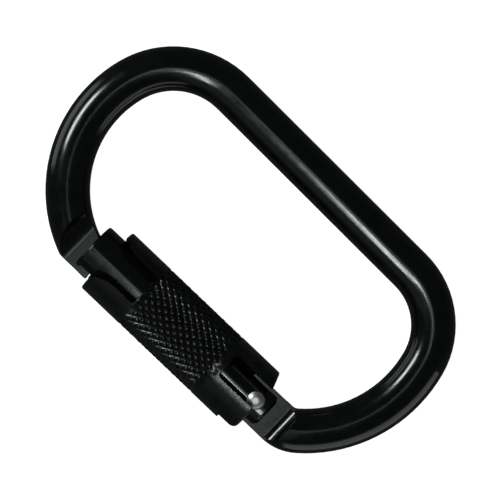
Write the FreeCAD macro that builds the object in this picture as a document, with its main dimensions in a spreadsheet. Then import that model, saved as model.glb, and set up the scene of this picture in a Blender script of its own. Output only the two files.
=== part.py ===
import FreeCAD, Part
import math
import os
import Sketcher
from FreeCAD import Placement, Rotation, Vector

# Oval steel carabiner with a quarter-turn locking sleeve, lying flat.
# Every piece is drawn with +X along the gate, from nose to hinge, +Y from the gate to the spine
# and +Z up, with the gate's own axis at y = 0. All are then moved together, so that the row's
# origin is the middle of the whole carabiner.

DIMENSIONS = {
    # the bent bar
    "overall_length": 107.8,
    "overall_width": 62.7,
    "loop_centre_x": 0.39,      # the loop's middle, a little towards the hinge
    "bar_diameter": 10.5,
    "spine_tilt": 1.3,          # degrees that the spine leans towards the gate at the hinge end
    "nose_corner_radius": 19.8, # bar axis, where the spine meets the nose side
    "nose_side_radius": 29.9,   # bar axis, round the nose end of the oval
    "hinge_corner_radius": 18.0,
    "hinge_side_radius": 31.8,
    "side_centre_y": 26.1,
    "nose_bend_radius": 11.2,
    "nose_axis_y": -2.6,        # where the bar's axis runs level inside the gate's tip
    "nose_end_x": -24.4,
    "heel_bend_radius": 7.4,
    # nose: neck and head that the gate's tip closes over
    "nose_flat_start": -29.2,
    "nose_flat_radius": 5.7,
    "nose_bottom_y": -6.65,
    "neck_thickness": 4.8,
    "head_thickness": 6.6,
    "head_outer_reach": 50.9,   # from the hinge axis, both faces are arcs round it
    "head_inner_reach": 48.9,
    "nose_top_y": 2.4,
    # hinge tongue
    "tongue_thickness": 5.5,
    "tongue_end_x": 20.6,
    "tongue_half_width": 5.1,
    "tongue_corner_radius": 2.6,
    "tongue_flat_end": 32.65,
    "tongue_flat_radius": 3.2,
    # hinge
    "hinge_x": 25.6,
    "hinge_y": 0.4,
    "rivet_radius": 1.5,
    "rivet_clearance": 0.06,
    "rivet_head_radius": 2.1,
    "rivet_seat_z": 4.6,
    "rivet_seat_gap": 0.1,
    "rivet_dome_z": 5.6,
    # gate rod
    "gate_tip_x": -26.9,
    "gate_head_radius": 6.15,
    "gate_head_end_x": -4.0,
    "gate_rod_radius": 5.1,
    "gate_end_x": 29.6,
    "gate_end_chamfer": 0.8,
    "lip_slot": 5.2,            # between the two lips at the gate's tip
    "lip_inside_x": -25.6,
    "cavity_slot": 7.1,
    "cavity_end_x": -22.4,
    "gate_web_y": 3.3,          # the slot in the tip is closed above this
    "hinge_slot": 5.8,
    "hinge_slot_end_x": 18.2,
    # gate spring and plunger
    "bore_radius": 1.9,
    "bore_end_x": 2.0,
    "bore_y": 1.9,
    "plunger_radius": 1.82,
    "plunger_length": 8.0,
    "plunger_stem_radius": 0.9,
    "plunger_stem_length": 3.0,
    "gate_spring_wire": 0.5,
    "gate_spring_radius": 1.45,
    "gate_spring_turns": 9.0,
    # locking sleeve
    "sleeve_radius": 8.8,
    "sleeve_mouth_x": -22.1,
    "sleeve_end_x": 26.5,
    "sleeve_bore": 6.22,
    "chamber_bore": 7.2,
    "sleeve_edge": 0.5,
    "nose_window_turn": 10.0,   # degrees that the windows stand round from straight up
    "nose_window_base_x": -10.4,
    "nose_window_half": 4.39,
    "window_flare_radius": 9.5,
    "window_flare_x": -16.2,    # where the flare starts
    "hinge_window_turn": 14.0,
    "hinge_window_base_x": 15.1,
    "hinge_window_half": 3.43,
    "window_corner": 0.9,
    "heel_relief_x": 21.7,
    "heel_relief_y": -8.0,
    "heel_relief_round": 1.6,
    "throat_relief_x": 25.42,
    "throat_relief_y": 5.5,
    # quarter-turn guide
    "twist": 80.0,              # degrees from locked to open
    "pin_radius": 1.0,
    "pin_x": -7.3,
    "pin_seat_radius": 3.2,
    "pin_tip_radius": 7.4,
    "groove_radius": 7.7,
    "groove_half_width": 1.15,
    "groove_margin": 11.0,      # degrees past the pin's own axis at each end of the groove
    # torsion spring and its ring
    "ring_start_x": 12.7,
    "ring_end_x": 14.6,
    "ring_bore": 5.18,
    "sleeve_spring_wire": 0.9,
    "sleeve_spring_radius": 5.65,
    "sleeve_spring_turns": 12.0,
    "spring_gap": 0.35,         # between the coil's ends and the faces beside them
    "tail_length": 1.6,
    "notch_width": 1.1,
    "notch_slack": 0.3,
    "ring_notch_depth": 1.1125,
    # small features
    "gate_tip_fillet": 0.6,
    "plunger_fillet": 0.3,
    "plunger_gap": 0.04,        # between the plunger's face and the tongue
    "cam_root": 1.3,            # the tongue's plate runs this far under the bar
    "level_margin": 1.5,        # the bar's axis runs level this far past the tongue's flats
    "flat_reach": 12.0,
    "cut_margin": 1.0,          # cutting outlines stand this far past what they cut
}

doc = FreeCAD.newDocument("carabiner")
sheet = doc.addObject("Spreadsheet::Sheet", "Size")
for row, (alias, value) in enumerate(DIMENSIONS.items(), start=1):
    sheet.set(f"A{row}", alias)
    sheet.set(f"B{row}", str(value))
    sheet.setAlias(f"B{row}", alias)
doc.recompute()


def bind(text):
    """An expression with the sheet's name put before every dimension in it."""
    words = text.replace("(", " ( ").replace(")", " ) ").split()
    return " ".join(f"Size.{word}" if word in DIMENSIONS else word for word in words)


def value(text):
    return float(sheet.evalExpression(bind(text)))


def drive(item, path, text):
    item.setExpression(path, bind(text))


# ---------------------------------------------------------------- bodies, sketches and features

UP = Vector(0, 0, 1)
GATE_X = "0 - loop_centre_x"
GATE_Y = "sleeve_radius - overall_width / 2"


def place(item, x="0", y="0"):
    """Put an object's own origin at a point given from the gate's axis."""
    drive(item, "Placement.Base.x", f"{GATE_X} + ( {x} )")
    drive(item, "Placement.Base.y", f"{GATE_Y} + ( {y} )")


def new_body(name):
    body = doc.addObject("PartDesign::Body", name)
    place(body)
    return body


def new_sketch(body, name, plane="XY_Plane", offset=None, turn=None):
    """A sketch on an origin plane, moved along its normal by offset or turned about its x axis."""
    sketch = body.newObject("Sketcher::SketchObject", name)
    support = next(item for item in body.Origin.OriginFeatures if item.Role == plane)
    sketch.AttachmentSupport = (support, "")
    sketch.MapMode = "FlatFace"
    if offset is not None:
        drive(sketch, "AttachmentOffset.Base.z", offset)
    if turn is not None:
        sketch.AttachmentOffset = Placement(Vector(), Rotation(Vector(-1, 0, 0), value(turn)))
        drive(sketch, "AttachmentOffset.Rotation.Angle", turn)
    return sketch


def pin(sketch, kind, geometry, position, text):
    """Hold one coordinate of a sketch's point, DistanceX or DistanceY, at what an expression gives."""
    index = sketch.addConstraint(Sketcher.Constraint(kind, -1, 1, geometry, position, value(text)))
    drive(sketch, f"Constraints[{index}]", text)


def pin_point(sketch, geometry, position, x, y):
    pin(sketch, "DistanceX", geometry, position, x)
    pin(sketch, "DistanceY", geometry, position, y)


def size(sketch, geometry, radius):
    index = sketch.addConstraint(Sketcher.Constraint("Radius", geometry, value(radius)))
    drive(sketch, f"Constraints[{index}]", radius)


def polygon(sketch, corners):
    """A closed outline of straight lines through corners given as pairs of expressions."""
    points = [Vector(value(x), value(y), 0) for x, y in corners]
    for start, end in zip(points, points[1:] + points[:1]):
        sketch.addGeometry(Part.LineSegment(start, end), False)
    count = len(points)
    for index in range(count):
        sketch.addConstraint(Sketcher.Constraint("Coincident", index, 2, (index + 1) % count, 1))
    for index, (x, y) in enumerate(corners):
        pin_point(sketch, index, 1, x, y)
    return sketch


def circle(sketch, x, y, radius):
    centre = Vector(value(x), value(y), 0)
    index = sketch.addGeometry(Part.Circle(centre, UP, value(radius)), False)
    pin_point(sketch, index, 3, x, y)
    size(sketch, index, radius)
    return sketch


def extrude(body, kind, name, sketch, length, symmetric=True, backwards=False):
    feature = body.newObject(f"PartDesign::{kind}", name)
    feature.Profile = sketch
    feature.SideType = "Symmetric" if symmetric else "One side"
    feature.Reversed = backwards
    drive(feature, "Length", length)
    check(body, feature)
    return feature


def revolve(body, kind, name, sketch, axis="H_Axis", angle=None):
    feature = body.newObject(f"PartDesign::{kind}", name)
    feature.Profile = sketch
    feature.ReferenceAxis = (sketch, [axis])
    if angle is None:
        feature.Angle = 360
    else:
        drive(feature, "Angle", angle)
    check(body, feature)
    return feature


def dress(body, kind, name, size, keep):
    """Round or chamfer the edges of the body's last feature that the test keep accepts."""
    base = body.Tip
    edges = [f"Edge{i}" for i, edge in enumerate(base.Shape.Edges, start=1) if keep(edge)]
    if not edges:
        raise RuntimeError(f"{name}: no edge found")
    feature = body.newObject(f"PartDesign::{kind}", name)
    feature.Base = (base, edges)
    drive(feature, "Radius" if kind == "Fillet" else "Size", size)
    check(body, feature)
    return feature


VOLUMES = {}
SAME_VOLUME = 1e-4             # mm3, less than any feature adds or takes away


def check(body, feature):
    """Recompute, and stop if a feature failed or left the solid as it was."""
    doc.recompute()
    if "Invalid" in feature.State or "Error" in feature.State or body.Shape.isNull():
        raise RuntimeError(f"{feature.Name} failed")
    volume = body.Shape.Volume
    if abs(volume - VOLUMES.get(body.Name, 0.0)) < SAME_VOLUME:
        raise RuntimeError(f"{feature.Name} changed nothing")
    VOLUMES[body.Name] = volume


def spans(edge, axis, low, high, slack=0.02):
    """True when an edge lies between low and high along an axis."""
    box = edge.BoundBox
    return getattr(box, axis + "Min") > low - slack and getattr(box, axis + "Max") < high + slack


# ---------------------------------------------------------------- the bent bar


def bar_path(body):
    """The bar's axis: nose, three arcs up to the spine, three arcs down to the hinge tongue."""
    sketch = new_sketch(body, "bar_path")
    reach = "( overall_length - bar_diameter ) / 2"
    nose_centre = (f"loop_centre_x - {reach} + nose_side_radius", "side_centre_y")
    hinge_centre = (f"loop_centre_x + {reach} - hinge_side_radius", "side_centre_y")
    top_y = "overall_width - sleeve_radius - bar_diameter / 2"
    corner_y = f"{top_y} - nose_corner_radius"
    level_end = "tongue_flat_end - level_margin"

    def arc(x, y, radius, start, end):
        ring = Part.Circle(Vector(x, y, 0), UP, value(radius))
        turned = Part.ArcOfCircle(ring, math.radians(start), math.radians(end))
        return sketch.addGeometry(turned, False)

    def line(x1, y1, x2, y2):
        return sketch.addGeometry(Part.LineSegment(Vector(x1, y1, 0), Vector(x2, y2, 0)), False)

    # the solver moves these first guesses until the arcs are tangent
    nose_x, nose_y = value("nose_end_x"), value("nose_axis_y")
    side_y, high, heel_r = value("side_centre_y"), value(top_y), value("heel_bend_radius")
    low_angle, corner_angle, top_angle, heel_angle = 250, 162, 89, 305
    corner_x = value("nose_side_radius")
    nose = line(nose_x, nose_y, nose_x - 1, nose_y)
    nose_bend = arc(nose_x - 1, nose_y + value("nose_bend_radius"), "nose_bend_radius", low_angle, 270)
    nose_side = arc(value(nose_centre[0]), side_y, "nose_side_radius", corner_angle, low_angle)
    nose_corner = arc(-corner_x, value(corner_y), "nose_corner_radius", top_angle, corner_angle)
    spine = line(-corner_x, high, corner_x, high - 1)
    hinge_corner = arc(corner_x, value(corner_y), "hinge_corner_radius", 180 - corner_angle, top_angle)
    hinge_side = arc(value(hinge_centre[0]), side_y, "hinge_side_radius",
                     heel_angle - 360, 180 - corner_angle)
    heel = arc(value(level_end) + 2, heel_r, "heel_bend_radius", 270, heel_angle)
    tongue = line(value(level_end) + 2, 0, value(level_end), 0)

    for first, first_end, second, second_end in (
        (nose, 2, nose_bend, 2),
        (nose_bend, 1, nose_side, 2),
        (nose_side, 1, nose_corner, 2),
        (nose_corner, 1, spine, 1),
        (spine, 2, hinge_corner, 2),
        (hinge_corner, 1, hinge_side, 2),
        (hinge_side, 1, heel, 2),
        (heel, 1, tongue, 1),
    ):
        sketch.addConstraint(
            Sketcher.Constraint("Tangent", first, first_end, second, second_end)
        )
    for item, radius in (
        (nose_bend, "nose_bend_radius"),
        (nose_side, "nose_side_radius"),
        (nose_corner, "nose_corner_radius"),
        (hinge_corner, "hinge_corner_radius"),
        (hinge_side, "hinge_side_radius"),
        (heel, "heel_bend_radius"),
    ):
        size(sketch, item, radius)
    for item in (nose, tongue):
        sketch.addConstraint(Sketcher.Constraint("Horizontal", item))
    pin_point(sketch, nose, 1, "nose_end_x", "nose_axis_y")
    pin_point(sketch, nose_side, 3, *nose_centre)
    pin_point(sketch, hinge_side, 3, *hinge_centre)
    pin(sketch, "DistanceY", nose_corner, 3, corner_y)
    pin(sketch, "DistanceX", tongue, 2, level_end)
    pin(sketch, "DistanceY", tongue, 2, "0")
    lean = math.radians(-value("spine_tilt"))
    index = sketch.addConstraint(Sketcher.Constraint("Angle", spine, lean))
    sketch.setExpression(f"Constraints[{index}]", "-Size.spine_tilt * 1 deg")
    doc.recompute()
    return sketch


def flat_profile(sketch, flat_x, radius, thickness, towards_nose):
    """The side view of what is milled off above a flat: level, then a concave rise to the bar."""
    half, top_y = f"{thickness} / 2", "bar_diameter / 2 + cut_margin"
    step = -1 if towards_nose else 1
    far = f"{flat_x} {'+' if towards_nose else '-'} flat_reach"
    rise = value(f"{top_y} - {half}")
    depth = value(radius)
    run = math.sqrt(2 * depth * rise - rise * rise) if rise < depth else depth
    start = Vector(value(flat_x), value(half), 0)
    centre = start + Vector(0, depth, 0)
    top = start + Vector(step * run, rise, 0)
    inner = Vector(value(far), start.y, 0)
    inner_top = Vector(inner.x, top.y, 0)
    straight_down = 1.5 * math.pi
    swing = math.acos((centre.y - top.y) / math.hypot(top.x - centre.x, top.y - centre.y))
    angles = sorted((straight_down, straight_down + step * swing))
    bend = Part.ArcOfCircle(Part.Circle(centre, UP, depth), *angles)
    low_end, high_end = (2, 1) if towards_nose else (1, 2)
    arc = sketch.addGeometry(bend, False)
    level = sketch.addGeometry(Part.LineSegment(start, inner), False)
    side = sketch.addGeometry(Part.LineSegment(inner, inner_top), False)
    lid = sketch.addGeometry(Part.LineSegment(inner_top, top), False)
    add = sketch.addConstraint
    add(Sketcher.Constraint("Tangent", arc, low_end, level, 1))
    add(Sketcher.Constraint("Coincident", level, 2, side, 1))
    add(Sketcher.Constraint("Coincident", side, 2, lid, 1))
    add(Sketcher.Constraint("Coincident", lid, 2, arc, high_end))
    add(Sketcher.Constraint("Horizontal", level))
    add(Sketcher.Constraint("Vertical", side))
    add(Sketcher.Constraint("Horizontal", lid))
    pin_point(sketch, level, 1, flat_x, half)
    size(sketch, arc, radius)
    pin_point(sketch, side, 2, far, top_y)
    return sketch


def head_outline(sketch):
    """The nose's head from above: two arcs round the hinge axis, closed by two level lines."""
    centre = Vector(value("hinge_x"), value("hinge_y"), 0)
    heights = ("nose_top_y", "nose_bottom_y")
    arcs = []
    for reach in ("head_outer_reach", "head_inner_reach"):
        radius = value(reach)
        angles = [math.pi - math.asin((value(y) - centre.y) / radius) for y in heights]
        ring = Part.Circle(centre, UP, radius)
        arc = sketch.addGeometry(Part.ArcOfCircle(ring, *angles), False)
        pin_point(sketch, arc, 3, "hinge_x", "hinge_y")
        size(sketch, arc, reach)
        ends = [centre + Vector(radius * math.cos(a), radius * math.sin(a), 0) for a in angles]
        arcs.append((arc, ends))
    (outer, outer_ends), (inner, inner_ends) = arcs
    for position, height in enumerate(heights, start=1):
        start, end = outer_ends[position - 1], inner_ends[position - 1]
        side = sketch.addGeometry(Part.LineSegment(start, end), False)
        sketch.addConstraint(Sketcher.Constraint("Coincident", side, 1, outer, position))
        sketch.addConstraint(Sketcher.Constraint("Coincident", side, 2, inner, position))
        sketch.addConstraint(Sketcher.Constraint("Horizontal", side))
        pin(sketch, "DistanceY", side, 1, height)
    return sketch


def tongue_outline(sketch):
    """The hinge tongue from above. Its end is a cam: the plunger bears on the arc as the gate opens."""
    half, end_x = value("tongue_half_width"), value("tongue_end_x")
    root_x, cam_y = value("tongue_flat_end + cam_root"), value("bore_y")
    radius = value("hinge_x - tongue_end_x")
    centre = Vector(value("hinge_x"), cam_y, 0)
    lift = math.asin((half - cam_y) / radius)
    arc_end = centre + Vector(-radius * math.cos(lift), radius * math.sin(lift), 0)
    points = [
        arc_end,
        Vector(root_x, half, 0),
        Vector(root_x, -half, 0),
        Vector(end_x, -half, 0),
        Vector(end_x, cam_y, 0),
    ]
    lines = [
        sketch.addGeometry(Part.LineSegment(a, b), False) for a, b in zip(points, points[1:])
    ]
    ring = Part.Circle(centre, UP, radius)
    cam = sketch.addGeometry(Part.ArcOfCircle(ring, math.pi - lift, math.pi), False)
    add = sketch.addConstraint
    for first, second in zip(lines, lines[1:]):
        add(Sketcher.Constraint("Coincident", first, 2, second, 1))
    add(Sketcher.Constraint("Coincident", lines[3], 2, cam, 2))
    add(Sketcher.Constraint("Coincident", cam, 1, lines[0], 1))
    for line, kind in zip(lines, ("Horizontal", "Vertical", "Horizontal", "Vertical")):
        add(Sketcher.Constraint(kind, line))
    pin_point(sketch, cam, 3, "hinge_x", "bore_y")
    pin_point(sketch, lines[3], 1, "tongue_end_x", "0 - tongue_half_width")
    pin_point(sketch, lines[1], 1, "tongue_flat_end + cam_root", "tongue_half_width")
    pin(sketch, "DistanceY", lines[3], 2, "bore_y")
    return sketch


def mirror(body, name, original):
    """Repeat a feature on the other side of the level mid-plane."""
    feature = body.newObject("PartDesign::Mirrored", name)
    feature.Originals = [original]
    level = next(item for item in body.Origin.OriginFeatures if item.Role == "XY_Plane")
    feature.MirrorPlane = (level, [""])
    body.Tip = feature
    check(body, feature)
    return feature


def carabiner_body():
    body = new_body("carabiner_body")
    path = bar_path(body)
    section = new_sketch(body, "bar_section", "YZ_Plane", offset="nose_end_x")
    circle(section, "nose_axis_y", "0", "bar_diameter / 2")
    bar = body.newObject("PartDesign::AdditivePipe", "bar")
    bar.Profile = section
    bar.Spine = (path, [])
    bar.Mode = "Frenet"
    check(body, bar)

    underside = polygon(new_sketch(body, "nose_underside_outline"), [
        ("nose_end_x - bar_diameter * 2", "nose_bottom_y"),
        ("nose_end_x + cut_margin", "nose_bottom_y"),
        ("nose_end_x + cut_margin", "nose_bottom_y - bar_diameter"),
        ("nose_end_x - bar_diameter * 2", "nose_bottom_y - bar_diameter"),
    ])
    extrude(body, "Pocket", "nose_underside", underside, "bar_diameter + 2 * cut_margin")

    nose = flat_profile(new_sketch(body, "nose_flat_outline", "XZ_Plane"),
                        "nose_flat_start", "nose_flat_radius", "neck_thickness", True)
    nose_flat = extrude(body, "Pocket", "nose_flat", nose, "bar_diameter * 2")
    mirror(body, "nose_flat_below", nose_flat)

    head = head_outline(new_sketch(body, "nose_head_outline"))
    extrude(body, "Pad", "nose_head", head, "head_thickness")

    heel = flat_profile(new_sketch(body, "tongue_flat_outline", "XZ_Plane"),
                        "tongue_flat_end", "tongue_flat_radius", "tongue_thickness", False)
    tongue_flat = extrude(body, "Pocket", "tongue_flat", heel, "bar_diameter * 2")
    mirror(body, "tongue_flat_below", tongue_flat)

    plate = tongue_outline(new_sketch(body, "tongue_outline"))
    extrude(body, "Pad", "tongue", plate, "tongue_thickness")
    end_x, low_y = value("tongue_end_x"), -value("tongue_half_width")
    dress(body, "Fillet", "tongue_corner", "tongue_corner_radius", lambda edge: (
        spans(edge, "X", end_x, end_x) and spans(edge, "Y", low_y, low_y)))

    hole = circle(new_sketch(body, "hinge_hole_outline"), "hinge_x", "hinge_y",
                  "rivet_radius + rivet_clearance")
    extrude(body, "Pocket", "hinge_hole", hole, "tongue_thickness + 2 * cut_margin")
    return body


# ---------------------------------------------------------------- gate, rivet, spring and plunger


def gate():
    body = new_body("gate")
    profile = polygon(new_sketch(body, "rod_profile"), [
        ("gate_tip_x", "0"),
        ("gate_tip_x", "gate_head_radius"),
        ("gate_head_end_x", "gate_head_radius"),
        ("gate_head_end_x", "gate_rod_radius"),
        ("gate_end_x", "gate_rod_radius"),
        ("gate_end_x", "0"),
    ])
    revolve(body, "Revolution", "rod", profile)
    tip_x, end_x = value("gate_tip_x"), value("gate_end_x")
    dress(body, "Fillet", "tip_edge", "gate_tip_fillet", lambda edge: spans(edge, "X", tip_x, tip_x))
    dress(body, "Chamfer", "end_edge", "gate_end_chamfer", lambda edge: spans(edge, "X", end_x, end_x))

    tip = polygon(new_sketch(body, "tip_slot_outline", "XZ_Plane",
                             offset="( gate_head_radius + cut_margin - gate_web_y ) / 2"), [
        ("gate_tip_x - cut_margin", "0 - lip_slot / 2"),
        ("lip_inside_x", "0 - lip_slot / 2"),
        ("lip_inside_x", "0 - cavity_slot / 2"),
        ("cavity_end_x", "0 - cavity_slot / 2"),
        ("cavity_end_x", "cavity_slot / 2"),
        ("lip_inside_x", "cavity_slot / 2"),
        ("lip_inside_x", "lip_slot / 2"),
        ("gate_tip_x - cut_margin", "lip_slot / 2"),
    ])
    extrude(body, "Pocket", "tip_slot", tip, "gate_head_radius + cut_margin + gate_web_y")

    slot = polygon(new_sketch(body, "hinge_slot_outline", "XZ_Plane"), [
        ("hinge_slot_end_x", "0 - hinge_slot / 2"),
        ("gate_end_x + cut_margin", "0 - hinge_slot / 2"),
        ("gate_end_x + cut_margin", "hinge_slot / 2"),
        ("hinge_slot_end_x", "hinge_slot / 2"),
    ])
    extrude(body, "Pocket", "hinge_slot", slot, "( gate_rod_radius + cut_margin ) * 2")

    hole = circle(new_sketch(body, "rivet_hole_outline"), "hinge_x", "hinge_y", "rivet_radius")
    extrude(body, "Pocket", "rivet_hole", hole, "( gate_rod_radius + cut_margin ) * 2")
    seat = circle(new_sketch(body, "rivet_seat_outline", offset="rivet_seat_z + cut_margin"),
                  "hinge_x", "hinge_y", "rivet_head_radius + rivet_seat_gap")
    mirror(body, "rivet_seat_below", extrude(body, "Pocket", "rivet_seat", seat, "cut_margin * 2"))

    bore = circle(new_sketch(body, "spring_bore_outline", "YZ_Plane",
                             offset="( bore_end_x + hinge_slot_end_x ) / 2"),
                  "bore_y", "0", "bore_radius")
    extrude(body, "Pocket", "spring_bore", bore, "hinge_slot_end_x - bore_end_x")

    pin_hole = circle(new_sketch(body, "pin_hole_outline",
                                 offset="0 - ( pin_seat_radius + gate_head_radius + cut_margin ) / 2"),
                      "pin_x", "0", "pin_radius")
    extrude(body, "Pocket", "pin_hole", pin_hole, "gate_head_radius + cut_margin - pin_seat_radius")

    notch = polygon(new_sketch(body, "tail_notch_outline", offset="gate_head_radius"), [
        ("gate_head_end_x - tail_length - notch_slack", "0 - notch_width / 2"),
        ("gate_head_end_x + cut_margin", "0 - notch_width / 2"),
        ("gate_head_end_x + cut_margin", "notch_width / 2"),
        ("gate_head_end_x - tail_length - notch_slack", "notch_width / 2"),
    ])
    extrude(body, "Pocket", "tail_notch", notch, "( gate_head_radius - gate_rod_radius ) * 2")
    return body


def hinge_rivet():
    """Turned about its own upright axis, then set at the hinge."""
    body = new_body("hinge_rivet")
    profile = new_sketch(body, "rivet_profile", "XZ_Plane")
    seat, top = value("rivet_seat_z"), value("rivet_dome_z")
    shank, head = value("rivet_radius"), value("rivet_head_radius")
    rise = top - seat
    dome = (head * head + rise * rise) / (2 * rise)
    points = [
        Vector(0, top, 0), Vector(0, -top, 0), Vector(head, -seat, 0),
        Vector(shank, -seat, 0), Vector(shank, seat, 0), Vector(head, seat, 0),
    ]
    axis = profile.addGeometry(Part.LineSegment(points[0], points[1]), False)
    sweep = math.asin(head / dome)
    low = profile.addGeometry(Part.ArcOfCircle(
        Part.Circle(Vector(0, dome - top, 0), UP, dome),
        1.5 * math.pi, 1.5 * math.pi + sweep), False)
    under = profile.addGeometry(Part.LineSegment(points[2], points[3]), False)
    side = profile.addGeometry(Part.LineSegment(points[3], points[4]), False)
    over = profile.addGeometry(Part.LineSegment(points[4], points[5]), False)
    high = profile.addGeometry(Part.ArcOfCircle(
        Part.Circle(Vector(0, top - dome, 0), UP, dome),
        0.5 * math.pi - sweep, 0.5 * math.pi), False)
    add = profile.addConstraint
    for first, first_end, second, second_end in (
        (axis, 2, low, 1), (low, 2, under, 1), (under, 2, side, 1),
        (side, 2, over, 1), (over, 2, high, 1), (high, 2, axis, 1),
    ):
        add(Sketcher.Constraint("Coincident", first, first_end, second, second_end))
    for item in (low, high):
        add(Sketcher.Constraint("PointOnObject", item, 3, -2))
    pin_point(profile, axis, 1, "0", "rivet_dome_z")
    pin_point(profile, axis, 2, "0", "0 - rivet_dome_z")
    pin_point(profile, under, 1, "rivet_head_radius", "0 - rivet_seat_z")
    pin_point(profile, side, 1, "rivet_radius", "0 - rivet_seat_z")
    pin_point(profile, over, 1, "rivet_radius", "rivet_seat_z")
    pin_point(profile, high, 1, "rivet_head_radius", "rivet_seat_z")
    revolve(body, "Revolution", "rivet", profile, "V_Axis")
    place(body, "hinge_x", "hinge_y")
    doc.recompute()
    return body


def gate_plunger():
    body = new_body("gate_plunger")
    back = "tongue_end_x - plunger_gap - plunger_length"
    profile = polygon(new_sketch(body, "plunger_profile"), [
        (f"{back} - plunger_stem_length", "0"),
        (f"{back} - plunger_stem_length", "plunger_stem_radius"),
        (back, "plunger_stem_radius"),
        (back, "plunger_radius"),
        ("tongue_end_x - plunger_gap", "plunger_radius"),
        ("tongue_end_x - plunger_gap", "0"),
    ])
    revolve(body, "Revolution", "plunger", profile)
    face_x = value("tongue_end_x - plunger_gap")
    dress(body, "Fillet", "plunger_edge", "plunger_fillet", lambda edge: (
        spans(edge, "X", face_x, face_x)))
    place(body, "0", "bore_y")
    doc.recompute()
    return body


# ---------------------------------------------------------------- locking sleeve and its fittings


def flared_outline(sketch):
    """The nose window from above: straight sides that curve outwards to the sleeve's mouth."""
    base, start = value("nose_window_base_x"), value("window_flare_x")
    out = value("sleeve_mouth_x - cut_margin")
    half, radius = value("nose_window_half"), value("window_flare_radius")
    turn = math.asin((start - out) / radius)
    wide = half + radius - radius * math.cos(turn)
    low_line, wall, high_line, end = [
        sketch.addGeometry(Part.LineSegment(Vector(*first, 0), Vector(*second, 0)), False)
        for first, second in (
            ((base, -half), (start, -half)),
            ((out, -wide), (out, wide)),
            ((start, half), (base, half)),
            ((base, half), (base, -half)),
        )
    ]
    low_ring = Part.Circle(Vector(start, -half - radius, 0), UP, radius)
    high_ring = Part.Circle(Vector(start, half + radius, 0), UP, radius)
    low_arc = Part.ArcOfCircle(low_ring, 0.5 * math.pi, 0.5 * math.pi + turn)
    high_arc = Part.ArcOfCircle(high_ring, 1.5 * math.pi - turn, 1.5 * math.pi)
    low, high = [sketch.addGeometry(arc, False) for arc in (low_arc, high_arc)]
    add = sketch.addConstraint
    add(Sketcher.Constraint("Tangent", low_line, 2, low, 1))
    add(Sketcher.Constraint("Coincident", low, 2, wall, 1))
    add(Sketcher.Constraint("Coincident", wall, 2, high, 1))
    add(Sketcher.Constraint("Tangent", high, 2, high_line, 1))
    add(Sketcher.Constraint("Coincident", high_line, 2, end, 1))
    add(Sketcher.Constraint("Coincident", end, 2, low_line, 1))
    for line in (low_line, high_line):
        add(Sketcher.Constraint("Horizontal", line))
    for line in (wall, end):
        add(Sketcher.Constraint("Vertical", line))
    for arc in (low, high):
        size(sketch, arc, "window_flare_radius")
    pin_point(sketch, low_line, 1, "nose_window_base_x", "0 - nose_window_half")
    pin_point(sketch, high_line, 1, "window_flare_x", "nose_window_half")
    pin(sketch, "DistanceX", low_line, 2, "window_flare_x")
    pin(sketch, "DistanceX", wall, 1, "sleeve_mouth_x - cut_margin")
    return sketch


def heel_outline(sketch):
    """What is milled off the sleeve's outer side at the hinge end, with the end's corner rounded."""
    start, end, low = value("heel_relief_x"), value("sleeve_end_x"), value("heel_relief_y")
    radius, margin = value("heel_relief_round"), value("cut_margin")
    bottom = -value("sleeve_radius") - margin
    points = [
        (end, low + radius), (end + margin, low + radius), (end + margin, bottom),
        (start, bottom), (start, low), (end - radius, low),
    ]
    lines = [
        sketch.addGeometry(Part.LineSegment(Vector(*first, 0), Vector(*second, 0)), False)
        for first, second in zip(points, points[1:])
    ]
    ring = Part.Circle(Vector(end - radius, low + radius, 0), UP, radius)
    corner = sketch.addGeometry(Part.ArcOfCircle(ring, 1.5 * math.pi, 2 * math.pi), False)
    add = sketch.addConstraint
    for first, second in zip(lines, lines[1:]):
        add(Sketcher.Constraint("Coincident", first, 2, second, 1))
    add(Sketcher.Constraint("Tangent", lines[4], 2, corner, 1))
    add(Sketcher.Constraint("Coincident", corner, 2, lines[0], 1))
    for line, kind in zip(lines, ("Horizontal", "Vertical", "Horizontal", "Vertical", "Horizontal")):
        add(Sketcher.Constraint(kind, line))
    size(sketch, corner, "heel_relief_round")
    pin_point(sketch, lines[0], 1, "sleeve_end_x", "heel_relief_y + heel_relief_round")
    pin_point(sketch, lines[2], 1, "sleeve_end_x + cut_margin", "0 - sleeve_radius - cut_margin")
    pin_point(sketch, lines[4], 1, "heel_relief_x", "heel_relief_y")
    return sketch


THROUGH_SLEEVE = "( sleeve_radius + cut_margin ) * 2"


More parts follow.
